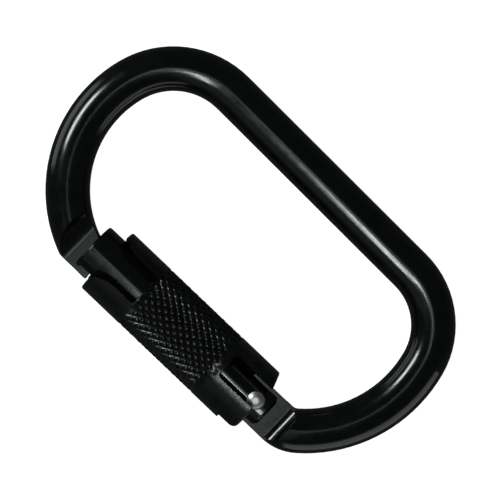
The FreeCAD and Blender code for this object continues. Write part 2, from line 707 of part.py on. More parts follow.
def locking_sleeve():
    body = new_body("locking_sleeve")
    step_x = "gate_head_end_x + spring_gap"
    profile = polygon(new_sketch(body, "sleeve_profile"), [
        ("sleeve_mouth_x", "sleeve_bore"),
        ("sleeve_mouth_x", "sleeve_radius"),
        ("sleeve_end_x", "sleeve_radius"),
        ("sleeve_end_x", "chamber_bore"),
        (step_x, "chamber_bore"),
        (step_x, "sleeve_bore"),
    ])
    revolve(body, "Revolution", "barrel", profile)
    radius, slack = value("sleeve_radius"), 0.1
    dress(body, "Fillet", "barrel_edges", "sleeve_edge", lambda edge: (
        edge.BoundBox.XLength < slack and edge.BoundBox.ZLength > 2 * radius - slack))

    nose = flared_outline(new_sketch(body, "nose_window_outline", turn="nose_window_turn"))
    hinge = polygon(new_sketch(body, "hinge_window_outline", turn="hinge_window_turn"), [
        ("hinge_window_base_x", "0 - hinge_window_half"),
        ("sleeve_end_x + cut_margin", "0 - hinge_window_half"),
        ("sleeve_end_x + cut_margin", "hinge_window_half"),
        ("hinge_window_base_x", "hinge_window_half"),
    ])
    for outline, base in ((nose, "nose_window_base_x"), (hinge, "hinge_window_base_x")):
        name = outline.Name.replace("_outline", "")
        extrude(body, "Pocket", name, outline, THROUGH_SLEEVE)
        base_x = value(base)
        dress(body, "Fillet", f"{name}_corners", "window_corner", lambda edge: (
            spans(edge, "X", base_x, base_x) and isinstance(edge.Curve, Part.Line)))

    heel = heel_outline(new_sketch(body, "heel_relief_outline"))
    extrude(body, "Pocket", "heel_relief", heel, THROUGH_SLEEVE)
    throat = polygon(new_sketch(body, "throat_relief_outline"), [
        ("throat_relief_x", "sleeve_radius"),
        ("sleeve_end_x", "throat_relief_y"),
        ("sleeve_end_x + cut_margin", "throat_relief_y"),
        ("sleeve_end_x + cut_margin", "sleeve_radius + cut_margin"),
        ("throat_relief_x", "sleeve_radius + cut_margin"),
    ])
    extrude(body, "Pocket", "throat_relief", throat, THROUGH_SLEEVE)

    groove = polygon(new_sketch(body, "guide_groove_outline", turn="90 + groove_margin"), [
        ("pin_x - groove_half_width", "sleeve_bore - cut_margin"),
        ("pin_x + groove_half_width", "sleeve_bore - cut_margin"),
        ("pin_x + groove_half_width", "groove_radius"),
        ("pin_x - groove_half_width", "groove_radius"),
    ])
    revolve(body, "Groove", "guide_groove", groove, angle="twist + 2 * groove_margin")
    return body


def spring_ring():
    body = new_body("spring_ring")
    profile = polygon(new_sketch(body, "ring_profile"), [
        ("ring_start_x", "ring_bore"),
        ("ring_start_x", "chamber_bore"),
        ("ring_end_x", "chamber_bore"),
        ("ring_end_x", "ring_bore"),
    ])
    revolve(body, "Revolution", "ring", profile)
    notch = polygon(new_sketch(body, "ring_notch_outline", offset="ring_bore"), [
        ("ring_start_x - cut_margin", "0 - notch_width / 2"),
        ("ring_end_x + cut_margin", "0 - notch_width / 2"),
        ("ring_end_x + cut_margin", "notch_width / 2"),
        ("ring_start_x - cut_margin", "notch_width / 2"),
    ])
    extrude(body, "Pocket", "ring_notch", notch, "2 * ring_notch_depth")
    return body


def guide_pin():
    body = new_body("guide_pin")
    middle = "0 - ( pin_seat_radius + pin_tip_radius ) / 2"
    outline = circle(new_sketch(body, "pin_outline", offset=middle), "pin_x", "0", "pin_radius")
    extrude(body, "Pad", "pin", outline, "pin_tip_radius - pin_seat_radius")
    return body


# ---------------------------------------------------------------- coil springs


def coil(name, start_x, end_x, turns, radius, wire):
    """Round wire wound along +Z, as long as the distance from start_x to end_x."""
    length = f"( {end_x} ) - ( {start_x} )"
    helix = doc.addObject("Part::Helix", f"{name}_helix")
    drive(helix, "Pitch", f"( {length} ) / {turns}")
    drive(helix, "Height", length)
    drive(helix, "Radius", radius)
    section = doc.addObject("Part::Circle", f"{name}_section")
    drive(section, "Radius", f"{wire} / 2")
    section.Placement.Rotation = Rotation(Vector(1, 0, 0), 90)
    drive(section, "Placement.Base.x", radius)
    doc.recompute()
    wound = doc.addObject("Part::Sweep", f"{name}_coil")
    wound.Spine = (helix, ["Edge1"])
    wound.Sections = [section]
    wound.Solid = True
    wound.Frenet = True
    doc.recompute()
    return wound


def along_gate(feature, x, y):
    """Lay a shape that was made along +Z along the gate, from x, with its own +X side up."""
    upright = Rotation(Vector(0, 1, 0), 90)
    feature.Placement.Rotation = Rotation(Vector(1, 0, 0), 180) * upright
    place(feature, x, y)
    return feature


def gate_spring():
    """Close-wound round wire between the bottom of the gate's bore and the plunger."""
    start_x = "bore_end_x + gate_spring_wire"
    end_x = "tongue_end_x - plunger_gap - plunger_length - gate_spring_wire"
    spring = coil("gate_spring", start_x, end_x, "gate_spring_turns",
                  "gate_spring_radius", "gate_spring_wire")
    along_gate(spring, start_x, "bore_y")
    spring.Label = "gate_spring"
    return spring


def sleeve_spring():
    """A coil round the gate with a straight tail at each end, one in the gate, one in the ring."""
    start_x = "gate_head_end_x + spring_gap + sleeve_spring_wire / 2"
    end_x = "ring_start_x - spring_gap - sleeve_spring_wire / 2"
    wound = coil("sleeve_spring", start_x, end_x, "sleeve_spring_turns",
                 "sleeve_spring_radius", "sleeve_spring_wire")
    along_gate(wound, start_x, "0")
    pieces = [wound]
    for name, bend_x, tail_x in (
        ("gate_tail", start_x, f"{start_x} - tail_length - spring_gap"),
        ("ring_tail", end_x, end_x),
    ):
        tail = doc.addObject("Part::Cylinder", name)
        drive(tail, "Radius", "sleeve_spring_wire / 2")
        drive(tail, "Height", "tail_length + spring_gap")
        along_gate(tail, tail_x, "0")
        knee = doc.addObject("Part::Sphere", f"{name}_knee")
        drive(knee, "Radius", "sleeve_spring_wire / 2")
        place(knee, bend_x)
        for piece in (tail, knee):
            drive(piece, "Placement.Base.z", "sleeve_spring_radius")
            pieces.append(piece)
    whole = doc.addObject("Part::MultiFuse", "sleeve_spring")
    whole.Shapes = pieces
    whole.Label = "sleeve_spring"
    return whole


# ---------------------------------------------------------------- build and write

NODES = [
    carabiner_body, gate, hinge_rivet, gate_plunger, gate_spring,
    locking_sleeve, spring_ring, sleeve_spring, guide_pin,
]

if __name__ == "__main__":
    pieces = [make() for make in NODES]
    doc.recompute()
    for item in doc.Objects:
        if "Invalid" in item.State or "Error" in item.State:
            raise RuntimeError(f"{item.Name} did not recompute")
    os.makedirs("parts", exist_ok=True)
    for piece in pieces:
        if piece.Shape.isNull() or not piece.Shape.isValid() or len(piece.Shape.Solids) != 1:
            raise RuntimeError(f"{piece.Label} is not one valid solid")
        piece.Shape.exportStep(f"parts/{piece.Label}.step")
        box = piece.Shape.optimalBoundingBox()
        print(f"{piece.Label}: {piece.Shape.Volume:.1f} mm3, "
              f"x {box.XMin:.2f} to {box.XMax:.2f}, y {box.YMin:.2f} to {box.YMax:.2f}, "
              f"z {box.ZMin:.2f} to {box.ZMax:.2f}")
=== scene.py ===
import math

import bmesh
import bpy
from mathutils import Matrix, Vector


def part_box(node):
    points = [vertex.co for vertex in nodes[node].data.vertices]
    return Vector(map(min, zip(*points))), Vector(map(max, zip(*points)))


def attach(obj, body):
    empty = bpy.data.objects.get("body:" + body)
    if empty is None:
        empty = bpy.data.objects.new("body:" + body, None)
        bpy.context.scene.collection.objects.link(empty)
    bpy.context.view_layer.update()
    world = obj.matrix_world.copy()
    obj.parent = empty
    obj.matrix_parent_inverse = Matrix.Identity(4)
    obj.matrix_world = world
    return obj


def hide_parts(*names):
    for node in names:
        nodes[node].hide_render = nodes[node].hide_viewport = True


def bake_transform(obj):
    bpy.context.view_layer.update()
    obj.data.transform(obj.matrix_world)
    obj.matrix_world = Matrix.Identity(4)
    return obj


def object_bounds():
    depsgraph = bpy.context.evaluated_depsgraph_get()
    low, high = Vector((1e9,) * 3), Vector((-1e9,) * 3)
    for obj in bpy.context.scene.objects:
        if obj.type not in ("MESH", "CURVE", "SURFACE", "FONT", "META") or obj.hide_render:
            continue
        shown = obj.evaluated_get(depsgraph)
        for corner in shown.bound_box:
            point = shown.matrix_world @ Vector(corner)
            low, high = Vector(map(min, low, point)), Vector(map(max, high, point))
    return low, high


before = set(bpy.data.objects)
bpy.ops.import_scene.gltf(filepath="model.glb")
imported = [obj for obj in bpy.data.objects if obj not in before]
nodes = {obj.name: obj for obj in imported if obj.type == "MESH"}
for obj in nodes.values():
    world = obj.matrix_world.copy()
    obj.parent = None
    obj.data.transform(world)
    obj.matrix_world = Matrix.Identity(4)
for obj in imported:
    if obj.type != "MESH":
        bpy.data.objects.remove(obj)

# A black steel carabiner lying flat on a white table, seen from straight above.
# Lengths are in metres, in the CAD frame: +X along the gate from nose to hinge, +Y from the gate
# to the spine, +Z up.

MM = 0.001
cad_low, cad_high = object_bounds()
sleeve_low, sleeve_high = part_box("locking_sleeve")
rivet_low, rivet_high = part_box("hinge_rivet")
rivet_middle = (rivet_low + rivet_high) / 2

# ---------------------------------------------------------------- camera

IMAGE_TURN = math.radians(43.63)      # the gate runs down to the right in the picture
IMAGE_WIDTH = 117.04 * MM             # width of the field of view, level with the bar
IMAGE_CENTRE = Vector((0.13, 2.24, 0.0)) * MM
LENS = 200.0
SENSOR = 36.0
IMAGE_RIGHT = Vector((math.cos(IMAGE_TURN), math.sin(IMAGE_TURN), 0.0))
IMAGE_UP = Vector((-math.sin(IMAGE_TURN), math.cos(IMAGE_TURN), 0.0))
TOWARDS_CAMERA = Vector((0.0, 0.0, 1.0))


def make_camera():
    data = bpy.data.cameras.new("camera")
    data.lens = LENS
    data.sensor_width = SENSOR
    camera = bpy.data.objects.new("camera", data)
    camera.location = IMAGE_CENTRE + TOWARDS_CAMERA * (IMAGE_WIDTH * LENS / SENSOR)
    camera.rotation_euler = (0.0, 0.0, IMAGE_TURN)
    bpy.context.scene.collection.objects.link(camera)
    bpy.context.scene.camera = camera


# ---------------------------------------------------------------- studio

TABLE_REACH = 1.5
TABLE_GAP = 0.1 * MM
TABLE_COLOUR = (0.4, 0.4, 0.4, 1.0)
TABLE_ROUGHNESS = 0.7
WHITE = (1.0, 1.0, 1.0, 1.0)
ROOM_COLOUR = (0.9, 0.95, 1.0, 1.0)
ROOM_STRENGTH = 0.05

# name, degrees round the picture, degrees off the camera, distance, width, height, watts, tint
SOFTBOXES = (
    ("upper_left_box", 146, 52, 0.6, 0.20, 0.12, 1.5, (0.93, 0.98, 0.96)),
    ("left_sheen", 150, 92, 0.6, 0.40, 0.30, 0.5, (0.90, 0.98, 0.98)),
    ("lower_left_strip", 236, 22, 0.6, 0.03, 0.24, 0.7, (0.93, 0.99, 0.96)),
    ("lower_left_panel", 226, 48, 0.6, 0.55, 0.50, 0.14, (0.90, 1.0, 0.92)),
    ("overhead", 226, 4, 0.9, 0.12, 0.12, 0.09, (0.82, 1.0, 0.94)),
    ("front_box", 292, 92, 0.6, 0.9, 0.4, 1.0, (0.94, 1.0, 0.93)),
)


def in_picture(side, tilt):
    """A direction: side is degrees round the picture from its right, tilt is degrees off the camera."""
    across = math.cos(math.radians(side)) * IMAGE_RIGHT + math.sin(math.radians(side)) * IMAGE_UP
    return math.sin(math.radians(tilt)) * across + math.cos(math.radians(tilt)) * TOWARDS_CAMERA


def softbox(name, side, tilt, distance, width, height, power, tint):
    """A rectangular area light that faces the object."""
    data = bpy.data.lights.new(name, "AREA")
    data.shape = "RECTANGLE"
    data.size = width
    data.size_y = height
    data.energy = power
    data.color = tint
    lamp = bpy.data.objects.new(name, data)
    away = in_picture(side, tilt)
    aim = away.to_track_quat("Z", "Y").to_matrix().to_4x4()
    lamp.matrix_world = Matrix.Translation(away * distance) @ aim
    bpy.context.scene.collection.objects.link(lamp)


def make_table():
    mesh = bpy.data.meshes.new("table")
    reach = TABLE_REACH
    low = cad_low.z - TABLE_GAP
    corners = [(-reach, -reach, low), (reach, -reach, low), (reach, reach, low), (-reach, reach, low)]
    mesh.from_pydata(corners, [], [(0, 1, 2, 3)])
    table = bpy.data.objects.new("table", mesh)
    bpy.context.scene.collection.objects.link(table)
    material = bpy.data.materials.new("white_table")
    material.use_nodes = True
    shader = material.node_tree.nodes["Principled BSDF"]
    shader.inputs["Base Color"].default_value = TABLE_COLOUR
    shader.inputs["Roughness"].default_value = TABLE_ROUGHNESS
    shader.inputs["Emission Color"].default_value = WHITE
    shader.inputs["Emission Strength"].default_value = 1.0
    mesh.materials.append(material)
    table.visible_glossy = False


def make_world():
    """Pale to the camera; a dim room in the reflections."""
    world = bpy.data.worlds.new("room")
    bpy.context.scene.world = world
    world.use_nodes = True
    tree = world.node_tree
    tree.nodes.clear()
    output = tree.nodes.new("ShaderNodeOutputWorld")
    mix = tree.nodes.new("ShaderNodeMixShader")
    path = tree.nodes.new("ShaderNodeLightPath")
    room = tree.nodes.new("ShaderNodeBackground")
    room.inputs["Color"].default_value = ROOM_COLOUR
    room.inputs["Strength"].default_value = ROOM_STRENGTH
    backdrop = tree.nodes.new("ShaderNodeBackground")
    backdrop.inputs["Color"].default_value = WHITE
    backdrop.inputs["Strength"].default_value = 1.0
    tree.links.new(path.outputs["Is Camera Ray"], mix.inputs["Fac"])
    tree.links.new(room.outputs["Background"], mix.inputs[1])
    tree.links.new(backdrop.outputs["Background"], mix.inputs[2])
    tree.links.new(mix.outputs["Shader"], output.inputs["Surface"])


def make_studio():
    make_table()
    make_world()
    for box in SOFTBOXES:
        softbox(*box)
    scene = bpy.context.scene
    scene.view_settings.view_transform = "Standard"
    scene.view_settings.look = "None"


# ---------------------------------------------------------------- locking sleeve
# Lengths along the gate are measured in millimetres from GATE, on the gate's axis. Angles go round
# the gate from straight up towards the spine.

SLEEVE_RADIUS = sleeve_high.z / MM
MOUTH_X = -22.1
GATE = Vector((sleeve_low.x - MOUTH_X * MM, sleeve_low.y + sleeve_high.z, 0.0))
SLEEVE_END_X = (sleeve_high.x - GATE.x) / MM
BORE_RADIUS = 6.22
CHAMBER_RADIUS = 7.2
CHAMBER_X = -3.65
RIM_ROUND = 0.5
WINDOW_CORNER = 0.9
FLARE_RADIUS = 9.5
FLARE_X = -16.2
RELIEF_X = 21.7               # flat milled off the outer side
RELIEF_DEPTH_Y = 8.0
RELIEF_ROUND = 1.6
THROAT_X = 25.42              # slope milled off the spine side of the end
THROAT_Y = 5.5
THROAT_SLOPE = (SLEEVE_RADIUS - THROAT_Y) / (SLEEVE_END_X - THROAT_X)
THIN_WALL = 0.1               # the end is cut back where less than this would be left
WIDEST_SHARE = math.sin(math.radians(80))   # most of the radius that half a window may take
KNURL_START_X = -9.9
KNURL_END_X = 13.5
KNURL_COLUMNS = 19            # half diamonds along the barrel
KNURL_AROUND = 26
RING_STEPS = 4 * KNURL_AROUND # points round the barrel
KNURL_DEPTH = 0.42
KNURL_RUN_OUT = 0.4
# each diamond's side, from its edge to its middle: share of its width, share of its height
KNURL_SIDE = ((0.7, 0.58), (0.4, 0.92))
# places along the gate where the walls between windows get a row of points
CORNER_TURNS = (90, 70, 50, 30, 0)
RIM_TURNS = (0, 30, 60, 90)
NOSE_WALL_X = (-13.0, -14.6, FLARE_X)
FLARE_STEP = 0.9
FLARE_STEPS = 5
RELIEF_EDGE = 0.01            # half the width of the step at the start of the relief
HINGE_WALL_X = (18.0, 20.0, RELIEF_X - RELIEF_EDGE, RELIEF_X + RELIEF_EDGE, 23.3)
END_SHARES = (0.0, 0.35, 0.6, 0.75, 0.88, 0.96, 1.0)
SLEEVE_EDGE_ROUND = 0.22 * MM
SLEEVE_EDGE_SEGMENTS = 3
SHARP_ANGLE = math.radians(50)


class Window:
    """One pair of windows, cut straight through the barrel from above."""

    def __init__(self, turn, base_x, half, towards, side_steps):
        self.turn = math.radians(turn)
        self.base_x = base_x
        self.half = half
        self.towards = towards            # -1 opens at the nose end, 1 at the hinge end
        self.side_steps = side_steps      # grid steps round the wall between the two windows
        self.gap_steps = RING_STEPS // 2 - side_steps

    def half_width(self, x):
        """Half the window's width at a place along the gate."""
        inside = (x - self.base_x) * self.towards
        if inside < WINDOW_CORNER:
            left = WINDOW_CORNER - inside
            return self.half - WINDOW_CORNER + math.sqrt(max(0.0, WINDOW_CORNER ** 2 - left ** 2))
        if self.towards < 0 and x < FLARE_X:
            return self.half + FLARE_RADIUS - math.sqrt(FLARE_RADIUS ** 2 - (FLARE_X - x) ** 2)
        return self.half

    def edge_angle(self, x, radius):
        """How far round from the window's middle its edge lies, on a given radius."""
        return math.asin(min(self.half_width(x) / radius, WIDEST_SHARE))

    def wall_angles(self, side, x, radius):
        """Angles across one of the two walls between the windows."""
        edge = self.edge_angle(x, radius)
        start = self.turn + side * math.pi + edge
        step = (math.pi - 2 * edge) / self.side_steps
        return [start + step * i for i in range(self.side_steps + 1)]

    def ring_angles(self, radius):
        """Angles right round the barrel at the windows' base."""
        angles = []
        edge = self.edge_angle(self.base_x, radius)
        for side in (0, 1):
            angles += self.wall_angles(side, self.base_x, radius)[:-1]
            start = self.turn + (side + 1) * math.pi - edge
            angles += [start + 2 * edge * i / self.gap_steps for i in range(self.gap_steps)]
        return angles


NOSE_WINDOW = Window(10.0, -10.4, 4.39, -1, 38)
HINGE_WINDOW = Window(14.0, 15.1, 3.43, 1, 42)


def on_barrel(x, angle, radius):
    across = Vector((x, radius * math.sin(angle), radius * math.cos(angle)))
    return GATE + across * MM


def outer_radius(x, angle):
    """The barrel's outside, with its rounded rims and what is milled off its hinge end."""
    radius = SLEEVE_RADIUS
    over = max(MOUTH_X + RIM_ROUND - x, x - (SLEEVE_END_X - RIM_ROUND), 0.0)
    radius -= RIM_ROUND - math.sqrt(max(0.0, RIM_ROUND ** 2 - over ** 2))
    height = math.sin(angle)
    if height > 0 and x > THROAT_X:
        radius = min(radius, (SLEEVE_RADIUS - THROAT_SLOPE * (x - THROAT_X)) / height)
    if height < 0 and x > RELIEF_X:
        over = max(0.0, x - (SLEEVE_END_X - RELIEF_ROUND))
        limit = RELIEF_DEPTH_Y - RELIEF_ROUND + math.sqrt(max(0.0, RELIEF_ROUND ** 2 - over ** 2))
        radius = min(radius, limit / -height)
    return radius


def end_x(angle):
    """Where the hinge end stops, a little short where the milled faces run into the bore."""
    height = math.sin(angle)
    reach = abs(height) * (CHAMBER_RADIUS + THIN_WALL)
    if height > 0 and reach > THROAT_Y:
        return THROAT_X + (SLEEVE_RADIUS - reach) / THROAT_SLOPE
    floor = RELIEF_DEPTH_Y - RELIEF_ROUND
    if height < 0 and reach > floor:
        return SLEEVE_END_X - RELIEF_ROUND + math.sqrt(RELIEF_ROUND ** 2 - (reach - floor) ** 2)
    return SLEEVE_END_X


def corner_stations(window):
    """Places along the gate that follow the rounded corners of a window's base."""
    turns = [math.radians(angle) for angle in CORNER_TURNS]
    return [window.base_x + window.towards * WINDOW_CORNER * (1 - math.sin(turn)) for turn in turns]


def nose_stations():
    """Places from the nose window's base to the mouth, with its rounded rim."""
    stations = corner_stations(NOSE_WINDOW) + list(NOSE_WALL_X)
    stations += [FLARE_X - FLARE_STEP * i for i in range(1, FLARE_STEPS + 1)]
    stations += [MOUTH_X + RIM_ROUND * (1 - math.sin(math.radians(turn))) for turn in RIM_TURNS]
    return stations


def hinge_stations():
    """Places from the hinge window's base to the last stretch, which END_SHARES divides."""
    return corner_stations(HINGE_WINDOW) + list(HINGE_WALL_X)


def wall_rows(window, side, radius_of):
    """Rows of points over one wall between two windows, from the windows' base to the end."""
    rows = []
    nominal = radius_of(window.base_x, window.turn + math.pi / 2)
    if window.towards < 0:
        for x in nose_stations():
            angles = window.wall_angles(side, x, nominal)
            rows.append([on_barrel(x, angle, radius_of(x, angle)) for angle in angles])
        return rows
    last_start = SLEEVE_END_X - RELIEF_ROUND
    for x in hinge_stations():
        angles = window.wall_angles(side, x, nominal)
        rows.append([on_barrel(x, angle, radius_of(x, angle)) for angle in angles])
    for share in END_SHARES:
        row = []
        for angle in angles:
            x = last_start + share * (end_x(angle) - last_start)
            row.append(on_barrel(x, angle, radius_of(x, angle)))
        rows.append(row)
    return rows


def join(mesh, lower, upper, flip=False):
    """A strip of faces between two rows of as many vertices."""
    for i in range(len(lower) - 1):
        corners = (lower[i], lower[i + 1], upper[i + 1], upper[i])
        face = mesh.faces.new(corners[::-1] if flip else corners)
        face.smooth = True


def loop_of(row):
    return list(row) + [row[0]]


def turned(row, steps):
    """The same ring of vertices, read from another starting point."""
    steps %= len(row)
    return row[steps:] + row[:steps]


def knurl_band(mesh, first_angle):
    """Diamonds in rows that wind by one pitch over the band; returns the smooth ring on each side."""
    pitch = 2 * math.pi / KNURL_AROUND
    step_x = (KNURL_END_X - KNURL_START_X) / KNURL_COLUMNS
    places = 2 * KNURL_AROUND
    floor = SLEEVE_RADIUS - KNURL_DEPTH

    def spot(column, place, height=0.0):
        angle = first_angle + place * pitch / 2 - pitch * column / KNURL_COLUMNS
        x = KNURL_START_X + column * step_x
        return mesh.verts.new(on_barrel(x, angle, floor + height * KNURL_DEPTH))

    lattice = {}
    for column in range(KNURL_COLUMNS + 1):
        edge = column in (0, KNURL_COLUMNS)
        for place in range(places):
            if (column + place) % 2 or edge:
                peak = (column + place) % 2 == 0
                lattice[column, place] = spot(column, place, 1.0 if peak else 0.0)

    def face(*corners):
        mesh.faces.new(corners).smooth = True

    for column in range(KNURL_COLUMNS + 1):
        for place in range(column % 2, places, 2):
            after, before = (place + 1) % places, (place - 1) % places
            if column == 0:
                face(lattice[0, place], lattice[0, before], lattice[1, place])
                face(lattice[0, place], lattice[1, place], lattice[0, after])
                continue
            if column == KNURL_COLUMNS:
                last = column - 1
                face(lattice[column, place], lattice[last, place], lattice[column, before])
                face(lattice[column, place], lattice[column, after], lattice[last, place])
                continue
            outline = ((-1, 0), (0, -1), (1, 0), (0, 1))
            ring = [lattice[column + dx, (place + dp) % places] for dx, dp in outline]
            for share, height in KNURL_SIDE:
                inner = [spot(column + dx * share, place + dp * share, height) for dx, dp in outline]
                for i in range(4):
                    face(ring[i], ring[(i + 1) % 4], inner[(i + 1) % 4], inner[i])
                ring = inner
            top = spot(column, place, 1.0)
            for i in range(4):
                face(ring[i], ring[(i + 1) % 4], top)

    rings = []
    ends = (0, KNURL_START_X - KNURL_RUN_OUT), (KNURL_COLUMNS, KNURL_END_X + KNURL_RUN_OUT)
    for column, x in ends:
        start = first_angle - pitch * column / KNURL_COLUMNS
        smooth = [mesh.verts.new(on_barrel(x, start + i * pitch / 4, SLEEVE_RADIUS))
                  for i in range(RING_STEPS)]
        for place in range(places):
            near = lattice[column, place], lattice[column, (place + 1) % places]
            far = [smooth[(2 * place + i) % RING_STEPS] for i in range(3)]
            trio = (far[0], far[1], near[0]), (far[1], near[1], near[0]), (far[1], far[2], near[1])
            for corners in trio:
                face(*(corners if column else corners[::-1]))
        rings.append(smooth)
    return rings


def end_walls(mesh, window, outer_ring, inner_ring):
    """The two walls beside a pair of windows, from the full rings at the windows' base."""
    creases = []
    gap = window.gap_steps
    outward = window.towards < 0
    for side in (0, 1):
        first = side * (window.side_steps + gap)
        last = first + window.side_steps
        outer_rows = [loop_of(outer_ring)[first:last + 1]]
        inner_rows = [loop_of(inner_ring)[first:last + 1]]
        for rows, radius_of in ((outer_rows, outer_radius), (inner_rows, bore_of(window))):
            for points in wall_rows(window, side, radius_of)[1:]:
                rows.append([mesh.verts.new(point) for point in points])
        for lower, upper in zip(outer_rows, outer_rows[1:]):
            join(mesh, lower, upper, flip=not outward)
        for lower, upper in zip(inner_rows, inner_rows[1:]):
            join(mesh, lower, upper, flip=outward)
        join(mesh, outer_rows[-1], inner_rows[-1], flip=not outward)
        for column, flip in ((0, outward), (-1, not outward)):
            outer_edge = [row[column] for row in outer_rows]
            inner_edge = [row[column] for row in inner_rows]
            join(mesh, outer_edge, inner_edge, flip)
            creases += [outer_edge, inner_edge]
        creases += [inner_rows[-1], outer_rows[-1]]
        opening = range(last, last + gap + 1)
        arcs = [[loop_of(ring)[i] for i in opening] for ring in (outer_ring, inner_ring)]
        join(mesh, arcs[0], arcs[1], flip=not outward)
        creases += arcs
    return creases


def bore_of(window):
    radius = BORE_RADIUS if window.towards < 0 else CHAMBER_RADIUS

    def bore(x, angle):
        """The bore, moved out where a window is wider than it."""
        return max(radius, window.half_width(x) / WIDEST_SHARE)
    return bore


def nearest_turn(ring_angles, first_angle):
    """How many grid steps round the smooth ring's first point lies from the window ring's."""
    return round((first_angle - ring_angles[0]) / (2 * math.pi / RING_STEPS))


def locking_sleeve():
    mesh = bmesh.new()
    nose_angles = NOSE_WINDOW.ring_angles(SLEEVE_RADIUS)
    hinge_angles = HINGE_WINDOW.ring_angles(SLEEVE_RADIUS)

    def ring(x, angles, radius):
        return [mesh.verts.new(on_barrel(x, angle, radius)) for angle in angles]

    nose_outer = ring(NOSE_WINDOW.base_x, nose_angles, SLEEVE_RADIUS)
    nose_inner = ring(NOSE_WINDOW.base_x, NOSE_WINDOW.ring_angles(BORE_RADIUS), BORE_RADIUS)
    hinge_outer = ring(HINGE_WINDOW.base_x, hinge_angles, SLEEVE_RADIUS)
    hinge_inner = ring(HINGE_WINDOW.base_x, HINGE_WINDOW.ring_angles(CHAMBER_RADIUS), CHAMBER_RADIUS)

    first_angle = nose_angles[0]
    near_nose, near_hinge = knurl_band(mesh, first_angle)
    join(mesh, loop_of(near_nose), loop_of(nose_outer))
    hinge_first = first_angle - 2 * math.pi / KNURL_AROUND
    steps = nearest_turn(hinge_angles, hinge_first)
    join(mesh, loop_of(turned(near_hinge, -steps)), loop_of(hinge_outer), flip=True)

    shift = nose_angles[0] + 0.5 * (NOSE_WINDOW.edge_angle(NOSE_WINDOW.base_x, BORE_RADIUS)
                                    - NOSE_WINDOW.edge_angle(NOSE_WINDOW.base_x, SLEEVE_RADIUS))
    middle_angles = [shift + 2 * math.pi * i / RING_STEPS for i in range(RING_STEPS)]
    step_low = ring(CHAMBER_X, middle_angles, BORE_RADIUS)
    step_high = ring(CHAMBER_X, middle_angles, CHAMBER_RADIUS)
    for lower, upper in ((nose_inner, step_low), (step_low, step_high), (step_high, hinge_inner)):
        join(mesh, loop_of(lower), loop_of(upper))

    creases = end_walls(mesh, NOSE_WINDOW, nose_outer, nose_inner)
    creases += end_walls(mesh, HINGE_WINDOW, hinge_outer, hinge_inner)
    weight = mesh.edges.layers.float.new("bevel_weight_edge")
    for row in creases:
        for first, second in zip(row, row[1:]):
            edge = mesh.edges.get((first, second))
            if edge:
                edge[weight] = 1.0
    return finish_piece("knurled_sleeve", mesh)


def finish_piece(name, mesh):
    bmesh.ops.recalc_face_normals(mesh, faces=mesh.faces)
    data = bpy.data.meshes.new(name)
    mesh.to_mesh(data)
    mesh.free()
    data.set_sharp_from_angle(angle=SHARP_ANGLE)
    piece = bpy.data.objects.new(name, data)
    bpy.context.scene.collection.objects.link(piece)
    return piece


def rounded(piece, width):
    """Edges marked with a bevel weight get a small round."""
    bevel = piece.modifiers.new("edge_round", "BEVEL")
    bevel.limit_method = "WEIGHT"
    bevel.width = width
    bevel.segments = SLEEVE_EDGE_SEGMENTS


# ---------------------------------------------------------------- coil springs

COIL_STEPS = 36               # points along each turn
WIRE_SIDES = 12
GATE_SPRING_WIRE = 0.5 * MM
GATE_SPRING_TURNS = 9
SLEEVE_SPRING_WIRE = 0.9 * MM
SLEEVE_SPRING_TURNS = 12
TAIL_LENGTH = 1.95 * MM
TAIL_STEPS = 4


def coil(name, node, wire, turns, tail=0.0):
    """Round wire wound along the gate in a CAD spring's own box, with a straight tail at each end."""
    low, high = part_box(node)
    middle = (low + high) / 2
    radius = high.z - wire / 2
    margin = tail or wire / 2
    start_x, stop_x = low.x + margin, high.x - margin
    centres = [(low.x + tail * i / TAIL_STEPS, 0.0) for i in range(TAIL_STEPS) if tail]
    count = turns * COIL_STEPS
    for i in range(count + 1):
        centres.append((start_x + (stop_x - start_x) * i / count, 2 * math.pi * i / COIL_STEPS))
    centres += [(stop_x + tail * (i + 1) / TAIL_STEPS, 2 * math.pi * turns)
                for i in range(TAIL_STEPS) if tail]

    def outward(angle):
        return Vector((0.0, math.sin(angle), math.cos(angle)))

    points = [Vector((x, middle.y, 0.0)) + outward(angle) * radius for x, angle in centres]
    around = [2 * math.pi * k / WIRE_SIDES for k in range(WIRE_SIDES)]
    mesh = bmesh.new()
    rings = []
    for i, point in enumerate(points):
        along = (points[min(i + 1, len(points) - 1)] - points[max(i - 1, 0)]).normalized()
        side = along.cross(outward(centres[i][1])).normalized()
        up = side.cross(along)
        rings.append([mesh.verts.new(point + (up * math.cos(a) + side * math.sin(a)) * wire / 2)
                      for a in around])
    for lower, upper in zip(rings, rings[1:]):
        join(mesh, loop_of(lower), loop_of(upper))
    for ring in (rings[0], rings[-1]):
        mesh.faces.new(ring)
    return finish_piece(name, mesh)


# ---------------------------------------------------------------- hinge rivet

RIVET_SIDES = 72
RIVET_SHANK = 1.5 * MM
RIVET_SEAT_Z = 4.6 * MM
HEAD_ROUND = 0.22 * MM        # round of the head's rim
TOP_FLAT = 0.55 * MM          # small flat that the heading punch leaves
DOME_STEPS = 8
ROUND_STEPS = 4


